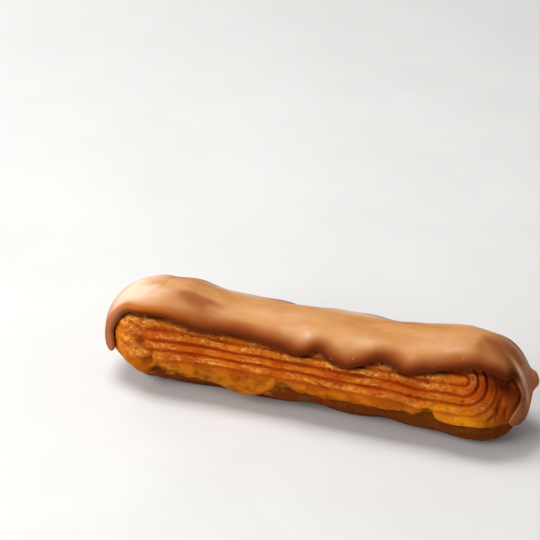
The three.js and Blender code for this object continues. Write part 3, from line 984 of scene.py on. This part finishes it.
def make_mottle():
    """Soft patches of a size in millimetres, between two levels of the noise."""
    inputs = {"Size": 5, "Stretch": 1, "From": 0.4, "To": 0.6}
    tree, nodes, entry, leave = new_group("mottle", inputs, ["Mask"])
    coordinates = nodes.add("TexCoord").outputs["Object"]
    apart = nodes.add("SeparateXYZ", {"Vector": coordinates}).outputs
    along = nodes.sum("DIVIDE", apart["X"], entry["Stretch"])
    together = nodes.add("CombineXYZ", {"X": along, "Y": apart["Y"], "Z": apart["Z"]}).outputs[0]
    scale = nodes.sum("DIVIDE", 1 / MM, entry["Size"])
    texture = nodes.add("TexNoise", {"Vector": together, "Scale": scale, "Detail": 3.0, "Roughness": 0.55})
    nodes.feed(leave["Mask"], nodes.ramp(texture.outputs["Fac"], entry["From"], entry["To"]))
    return tree


PORE_CORE = 0.4  # the share of a pore's reach in which it is full


def make_pores():
    """Small round spots so far apart and so wide, in millimetres, in a share of their places."""
    tree, nodes, entry, leave = new_group("pores", {"Apart": 2, "Wide": 0.3, "Share": 0.5}, ["Mask"])
    coordinates = nodes.add("TexCoord").outputs["Object"]
    scale = nodes.sum("DIVIDE", 1 / MM, entry["Apart"])
    texture = nodes.add("TexVoronoi", {"Vector": coordinates, "Scale": scale, "Randomness": 1.0})
    reach = nodes.sum("DIVIDE", entry["Wide"], entry["Apart"])
    spot = nodes.ramp(texture.outputs["Distance"], reach, nodes.sum("MULTIPLY", reach, PORE_CORE))
    chance = nodes.add("SeparateColor", {"Color": texture.outputs["Color"]}).outputs[0]
    chosen = nodes.sum("LESS_THAN", chance, entry["Share"])
    nodes.feed(leave["Mask"], nodes.sum("MULTIPLY", spot, chosen))
    return tree


def new_material(name):
    material = bpy.data.materials.new(name)
    material.use_nodes = True
    return material, Nodes(material.node_tree), material.node_tree.nodes["Principled BSDF"]


# Soft patches of the crust and of the icing: (size in millimetres, stretch along, from, to)
CRUST_MOTTLES = {
    "patches": (6, 1.6, 0.38, 0.62),
    "crumbs": (0.9, 1.3, 0.50, 0.66),
    "flecks": (0.7, 2.6, 0.53, 0.62),
    "worn": (2.4, 2.0, 0.44, 0.58),
    "grain": (0.35, 1.0, 0.30, 0.70),
    "blotches": (4, 1.5, 0.44, 0.58),
}
ICING_MOTTLES = {
    "patches": (9, 2.2, 0.36, 0.66),
    "streaks": (1.1, 14, 0.35, 0.70),
    "ripples": (2.6, 2, 0.30, 0.70),
}
SPECKS = {"Apart": 1.5, "Wide": 0.22, "Share": 0.3}
BUBBLES = {"Apart": 3.2, "Wide": 0.3, "Share": 0.5}
CRUST_SHADES = (0.90, 1.08)  # how dark and how light its grain is
CRUST_ROUGHNESS = (0.50, 0.68)  # between its crumbs, and on them
CRUST_BUMP = {"Strength": 0.5, "Distance": 0.12 * MM}
CRUMB_HEIGHT = 0.6  # beside the grain's height of 1
# The icing darkens towards its lower edge, partly its own colour and partly painted shade where the edge
# turns under. Fades from the icing's edge are (none from so far, full from so far)
LOWER_EDGE = (6.8, 2.0)
LOWEST_EDGE = (3.2, 0.6)
OFF_RUN = -0.85  # how much less of the edge's dark is on the runs
ICING_ROUGHNESS = (3.0, 7.0, 0.75, 0.36)  # at the first distance from the edge, and at the second
RIPPLE_ROUGHNESS = 0.08
ICING_BUMP = {"Strength": 0.35, "Distance": 0.1 * MM}
RIPPLE_HEIGHT = 0.6
STREAK_HEIGHT = 0.25
BUBBLE_HEIGHT = 0.8
CRUST_SHADER = {"Specular IOR Level": 0.03}
ICING_SHADER = {
    "Specular IOR Level": 0.07,
    "Subsurface Weight": 0.05,
    "Subsurface Radius": (1.0, 0.45, 0.2),
    "Subsurface Scale": 1.2 * MM,
}


def choux_tone(nodes, on, soft, specks):
    """The crust's colour: brown with gold and pale crumbs, then grooves, the underside and dark places,
    partly painted light and shade, and a painted shadow under the icing.
    """
    bottom = nodes.between(soft.blotches, (108, 40, 0), (98, 48, 0))
    pale = nodes.sum("MULTIPLY", on.raised, nodes.sum("MULTIPLY_ADD", on.crumbly, 0.42, 0.01))
    flecked = nodes.sum("MULTIPLY_ADD", on.crumbly, 0.45, nodes.sum("MULTIPLY", on.crest, 0.15))
    return nodes.lay_over(nodes.between(soft.patches, (160, 64, 3), (176, 78, 6)), (
        (on.band, 0.85, nodes.between(soft.blotches, (158, 79, 5), (189, 106, 11))),
        # gold, partly painted light
        (on.gold, 0.80, nodes.between(soft.worn, (206, 122, 14), (230, 152, 18))),
        # crests: partly the crumbly crust's paler colour, partly painted highlight
        (on.crest, 0.70, nodes.between(soft.patches, (188, 86, 8), (216, 124, 24))),
        (pale, 1.00, colour(244, 172, 74)),
        (soft.flecks, flecked, colour(254, 198, 108)),
        # grooves darker and redder with depth: partly the crust's own colour, partly painted shade
        (on.groove, 0.90, colour(154, 48, 0)),
        # reddish brown, partly painted shade
        (on.red, 0.70, colour(142, 50, 5)),
        (on.olive, 0.75, colour(160, 98, 26)),
        # the underside's dark brown: partly its baked colour, partly painted shade
        (on.under, 1.00, nodes.lay_over(bottom, [(soft.worn, 0.35, colour(128, 62, 4))])),
        (specks, 0.40, colour(110, 44, 6)),
        # pits, cracks and pinholes painted dark: painted shade in them
        (on.pit, 0.55, colour(90, 30, 2)),
        (on.smear, 0.85, colour(160, 72, 22)),
        # painted shadow under the icing's edge
        (on.contact, 0.85, colour(76, 18, 0)),
    ))


def make_choux_finish(mottle, pores):
    material, nodes, shader = new_material("baked_choux")
    on = nodes.masks((
        "groove", "under", "band", "crest", "crumbly", "raised",
        "pit", "smear", "olive", "red", "gold", "contact",
    ))
    soft = nodes.mottles(mottle, CRUST_MOTTLES)
    specks = nodes.group(pores, SPECKS)["Mask"]
    shade = nodes.ramp(soft.grain, 0, 1, *CRUST_SHADES)
    shade = nodes.add("CombineColor", {0: shade, 1: shade, 2: shade}).outputs[0]
    height = nodes.sum("MULTIPLY_ADD", soft.crumbs, CRUMB_HEIGHT, soft.grain)
    nodes.fill(shader, {
        "Base Color": nodes.mix(1.0, choux_tone(nodes, on, soft, specks), shade, "MULTIPLY"),
        "Roughness": nodes.ramp(soft.crumbs, 0, 1, *CRUST_ROUGHNESS),
        "Normal": nodes.bump(height, CRUST_BUMP),
        **CRUST_SHADER,
    })
    return material


def icing_tone(nodes, on, soft, bubbles):
    """The icing's colour: painted highlights and brown patches, then the runs, the lower edge darkened
    partly by painted shade, painted shade and shine on the runs, and painted glints on bubbles.
    """
    off_run = nodes.sum("MULTIPLY_ADD", on.run, OFF_RUN, 1.0)
    lower = nodes.sum("MULTIPLY", nodes.ramp(on.from_edge, *LOWER_EDGE), off_run)
    lowest = nodes.sum("MULTIPLY", nodes.ramp(on.from_edge, *LOWEST_EDGE), off_run)
    return nodes.lay_over(nodes.between(soft.patches, (184, 123, 64), (199, 142, 87)), (
        (soft.streaks, 0.09, colour(218, 162, 112)),
        # brown patches: partly the icing's own colour, partly painted shade
        (on.brown, 0.80, colour(144, 70, 30)),
        # painted highlights
        (on.pale, 0.90, colour(229, 196, 170)),
        (on.run, 0.80, colour(176, 104, 70)),
        # darker towards the lower edge: partly the icing's own colour, partly painted shade where it turns
        # under
        (lower, 0.90, colour(128, 50, 4)),
        (lowest, 0.90, colour(84, 28, 3)),
        (on.amber, 0.95, colour(172, 92, 10)),
        # painted shade on the runs
        (on.dark, 0.85, colour(110, 54, 30)),
        # painted highlight on the right run
        (on.shine, 0.90, colour(250, 200, 164)),
        # painted glints on the bubbles
        (bubbles, 0.35, colour(240, 200, 160)),
    ))


def make_icing_finish(mottle, pores):
    material, nodes, shader = new_material("coffee_icing")
    on = nodes.masks(("from_edge", "pale", "brown", "amber", "run", "shine", "dark"))
    soft = nodes.mottles(mottle, ICING_MOTTLES)
    bubbles = nodes.group(pores, BUBBLES)["Mask"]
    sheen = nodes.ramp(on.from_edge, *ICING_ROUGHNESS)
    height = nodes.sum("MULTIPLY", soft.streaks, STREAK_HEIGHT)
    height = nodes.sum("MULTIPLY_ADD", soft.ripples, RIPPLE_HEIGHT, height)
    height = nodes.sum("MULTIPLY_ADD", bubbles, BUBBLE_HEIGHT, height)
    nodes.fill(shader, {
        "Base Color": icing_tone(nodes, on, soft, bubbles),
        "Roughness": nodes.sum("ADD", sheen, nodes.ramp(soft.ripples, 0, 1, 0.0, RIPPLE_ROUGHNESS)),
        "Normal": nodes.bump(height, ICING_BUMP),
        **ICING_SHADER,
    })
    return material


FLOOR_HALF_SIDE = 3  # in metres
FLOOR_BELOW = 0.05  # keeps the bun's base out of it


def make_floor(mottle):
    material, nodes, shader = new_material("pale_floor")
    soft = nodes.mottles(mottle, {"patches": (60, 1, 0.3, 0.7)})
    tone = nodes.between(soft.patches, (216, 215, 213), (220, 219, 217))
    nodes.fill(shader, {"Base Color": tone, "Roughness": 0.7})
    shape = bmesh.new()
    bmesh.ops.create_grid(shape, x_segments=1, y_segments=1, size=FLOOR_HALF_SIDE)
    bmesh.ops.translate(shape, verts=shape.verts[:], vec=(0, 0, -FLOOR_BELOW * MM))
    floor = object_of(shape, "floor", material)


# The camera and the lights, with places in metres
PICTURE_SIDE = 540
VIEW_AZIMUTH = 19
VIEW_ELEVATION = 30
VIEW_DISTANCE = 0.7
VIEW_CENTRE = Vector((0, 0, 0.017))
CENTRE_SEEN_AT = (316.3, 352.2)  # in the picture's pixels
LENS = 144.33
SENSOR = 36
SKY = 0.27  # how bright the white light from all round is
# Lights are (name, place, size, power)
LIGHTS = (
    ("key", (-0.28, 0.05, 0.75), 0.4, 4.6),
    ("back", (-0.72, 0.72, 0.27), 0.5, 2.6),
    ("front", (-0.42, -0.68, 0.48), 0.6, 6.4),
)
LIT_PLACE = (0, 0, 0.02)


def add_object(name, data, place, target):
    made = bpy.data.objects.new(name, data)
    made.location = place
    made.rotation_euler = (Vector(target) - Vector(place)).to_track_quat("-Z", "Y").to_euler()
    bpy.context.scene.collection.objects.link(made)
    return made


def place_camera():
    azimuth, elevation = math.radians(VIEW_AZIMUTH), math.radians(VIEW_ELEVATION)
    right = Vector((math.cos(azimuth), math.sin(azimuth), 0))
    back = Vector((math.sin(azimuth), -math.cos(azimuth), math.tan(elevation))).normalized()
    up = back.cross(right)
    pixel = VIEW_DISTANCE * SENSOR / LENS / PICTURE_SIDE
    across = (CENTRE_SEEN_AT[0] - PICTURE_SIDE / 2) * pixel
    down = (CENTRE_SEEN_AT[1] - PICTURE_SIDE / 2) * pixel
    camera = bpy.data.cameras.new("camera")
    camera.lens = LENS
    camera.sensor_width = SENSOR
    place = VIEW_CENTRE + back * VIEW_DISTANCE
    bpy.context.scene.camera = add_object("camera", camera, place, VIEW_CENTRE - across * right + down * up)


def light_scene():
    world = bpy.data.worlds.new("studio")
    world.use_nodes = True
    background = world.node_tree.nodes["Background"].inputs
    background["Color"].default_value = (1, 1, 1, 1)
    background["Strength"].default_value = SKY
    bpy.context.scene.world = world
    bpy.context.scene.view_settings.view_transform = "Standard"
    for name, place, size, power in LIGHTS:
        light = bpy.data.lights.new(name, "AREA")
        light.size = size
        light.energy = power
        add_object(name, light, place, LIT_PLACE)


place_camera()
light_scene()
mottle = make_mottle()
pores = make_pores()
make_floor(mottle)
make_bun(make_choux_finish(mottle, pores))
make_icing(make_icing_finish(mottle, pores))
